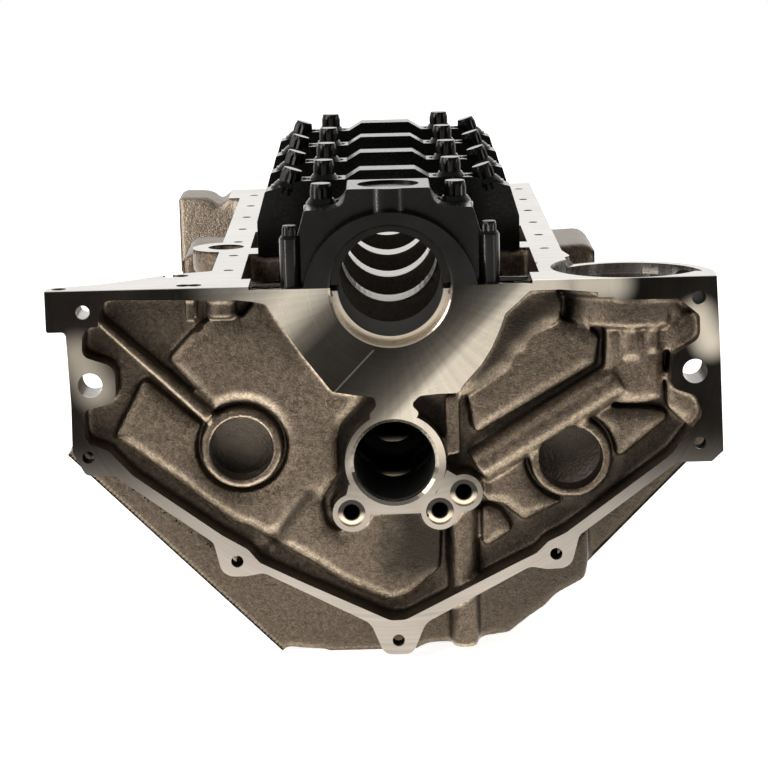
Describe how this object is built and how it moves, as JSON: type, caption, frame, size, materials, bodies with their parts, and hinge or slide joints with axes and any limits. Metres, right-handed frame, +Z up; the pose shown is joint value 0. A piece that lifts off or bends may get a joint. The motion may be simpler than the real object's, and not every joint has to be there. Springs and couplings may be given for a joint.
{
  "type": "engine block",
  "caption": "Bare cast iron vee cylinder block with its main bearing caps bolted on, standing upside down with the open crankcase up.",
  "frame": {"origin": "on the crankshaft axis, in the plane of the machined rear face", "axes": "+X across the block to the oil filter side, +Y along the crankshaft from the rear face to the front, +Z up out of the crankcase, as the block stands upside down"},
  "size_m": [0.435, 0.523, 0.3125],
  "materials": {
    "cast_iron": "sand cast with machined faces",
    "cap_iron": "black oxide, satin",
    "bolt_steel": "black oxide, glossy",
    "washer_steel": "black oxide, satin"
  },
  "bodies": {
    "root": {"block": "cast_iron", "main_cap_1": "cap_iron", "main_cap_2": "cap_iron", "main_cap_3": "cap_iron", "main_cap_4": "cap_iron", "main_cap_5": "cap_iron", "cap_1_inner_bolts": "bolt_steel", "cap_1_outer_bolts": "bolt_steel", "cap_1_washers": "washer_steel", "cap_2_inner_bolts": "bolt_steel", "cap_2_outer_bolts": "bolt_steel", "cap_2_washers": "washer_steel", "cap_3_inner_bolts": "bolt_steel", "cap_3_outer_bolts": "bolt_steel", "cap_3_washers": "washer_steel", "cap_4_inner_bolts": "bolt_steel", "cap_4_outer_bolts": "bolt_steel", "cap_4_washers": "washer_steel", "cap_5_inner_bolts": "bolt_steel", "cap_5_outer_bolts": "bolt_steel", "cap_5_washers": "washer_steel"}
  },
  "joints": []
}
